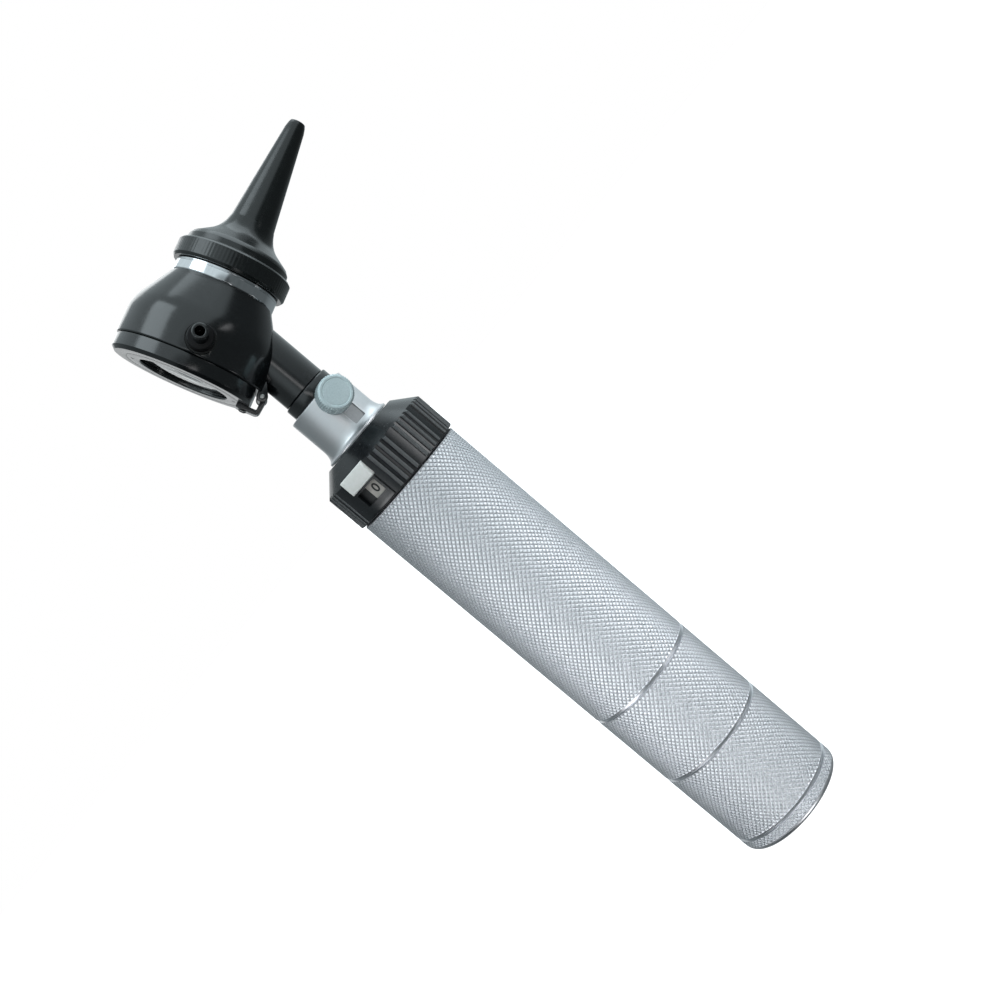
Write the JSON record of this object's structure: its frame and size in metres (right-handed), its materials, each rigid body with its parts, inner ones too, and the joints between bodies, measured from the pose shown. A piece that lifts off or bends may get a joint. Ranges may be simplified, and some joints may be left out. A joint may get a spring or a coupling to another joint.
{
  "type": "otoscope",
  "caption": "Otoscope with a knurled two-cell battery handle, ribbed switch collar, clamped head, push-on ear speculum and a hinged viewing lens.",
  "frame": {"origin": "centre of the flat end face of the handle's end cap, on which the otoscope can stand", "axes": "+Z along the handle towards the head; +X the way the speculum points, seen from above; the viewing lens faces -X; the insufflation port points to -Y"},
  "size_m": [0.0674, 0.0437, 0.1926],
  "materials": {
    "knurled_metal": "satin, diamond knurl",
    "satin_metal": "satin",
    "bright_metal": "polished",
    "screw_metal": "satin nickel",
    "spring_steel": "drawn wire",
    "brass": "turned",
    "cell_jacket": "printed jacket, plain",
    "collar_black": "semi-gloss moulded",
    "head_black": "satin gloss",
    "speculum_black": "satin gloss",
    "strap_black": "black finish",
    "button_white": "satin",
    "scale_grey": "matt",
    "black_insulator": "matt",
    "white_insulator": "matt",
    "seal_rubber": "matt",
    "light_guide": "fibre bundle",
    "clear_glass": "polished"
  },
  "bodies": {
    "handle": {"handle_tube": "knurled_metal", "battery_lower": "cell_jacket", "battery_upper": "cell_jacket", "battery_contact": "brass", "switch_base": "black_insulator", "rheostat_track": "brass", "scale_ring": "scale_grey", "neck_socket": "satin_metal", "insulator_sleeve": "white_insulator", "detent_ball": "spring_steel", "detent_spring": "spring_steel", "contact_spring": "spring_steel"},
    "cap_feed": {"battery_spring": "spring_steel"},
    "end_cap": {"end_cap": "knurled_metal"},
    "collar": {"switch_collar": "collar_black", "wiper": "brass", "button_spring": "spring_steel"},
    "lock_button": {"lock_button": "button_white"},
    "contact_plunger": {"contact_plunger": "brass"},
    "screw_feed": {"screw_pad": "brass"},
    "thumb_screw": {"thumb_screw": "screw_metal"},
    "head": {"stem_ferrule": "head_black", "stem_tube": "head_black", "lamp_base": "brass", "lamp_bulb": "clear_glass", "lamp_insulator": "white_insulator", "lamp_contact": "brass", "light_guide": "light_guide", "guide_holder": "black_insulator", "head_body": "head_black", "rear_seal": "seal_rubber", "port_washer": "seal_rubber", "insufflation_port": "head_black", "speculum_seat": "bright_metal", "hinge_pin": "spring_steel"},
    "speculum": {"speculum": "speculum_black"},
    "lens_frame": {"lens_plate": "head_black", "lens": "clear_glass", "lens_ring": "head_black", "lens_washer": "seal_rubber", "hinge_strap": "strap_black", "strap_rivets": "strap_black"}
  },
  "joints": [
    {"name": "cap_advance", "type": "slide", "parent": "handle", "child": "cap_feed", "axis": [0, 0, -1], "range_m": [0, 0.006]},
    {"name": "cap_turn", "type": "hinge", "parent": "cap_feed", "child": "end_cap", "pos_m": [0, 0, 0.013], "axis": [0, 0, -1], "range_deg": [0, 1440]},
    {"name": "collar_turn", "type": "hinge", "parent": "handle", "child": "collar", "pos_m": [0, 0, 0.126], "axis": [0, 0, 1], "range_deg": [0, 120]},
    {"name": "button_press", "type": "slide", "parent": "collar", "child": "lock_button", "axis": [0.6088, 0.7934, 0], "range_m": [0, 0.001], "stiffness_N_per_m": 500, "springref_m": -0.001, "deforming": ["button_spring"]},
    {"name": "contact_press", "type": "slide", "parent": "handle", "child": "contact_plunger", "axis": [0, 0, -1], "range_m": [0, 0.0015], "stiffness_N_per_m": 300, "springref_m": -0.001, "deforming": ["contact_spring"]},
    {"name": "screw_advance", "type": "slide", "parent": "handle", "child": "screw_feed", "axis": [0.1564, -0.9877, 0], "range_m": [0, 0.0021]},
    {"name": "screw_turn", "type": "hinge", "parent": "screw_feed", "child": "thumb_screw", "pos_m": [0, 0, 0.1435], "axis": [0.1564, -0.9877, 0], "range_deg": [0, 1080]},
    {"name": "head_release", "type": "slide", "parent": "handle", "child": "head", "axis": [0, 0, 1], "range_m": [0, 0.012]},
    {"name": "speculum_pull", "type": "slide", "parent": "head", "child": "speculum", "axis": [0.9562, 0, 0.2929], "range_m": [0, 0.03]},
    {"name": "lens_hinge", "type": "hinge", "parent": "head", "child": "lens_frame", "pos_m": [-0.00778, 0, 0.15559], "axis": [0, -1, 0], "range_deg": [0, 80]}
  ],
  "couplings": [
    {"joint": "cap_turn", "follows": "cap_advance", "rad_per_m": 4188.8},
    {"joint": "screw_turn", "follows": "screw_advance", "rad_per_m": 8976}
  ]
}
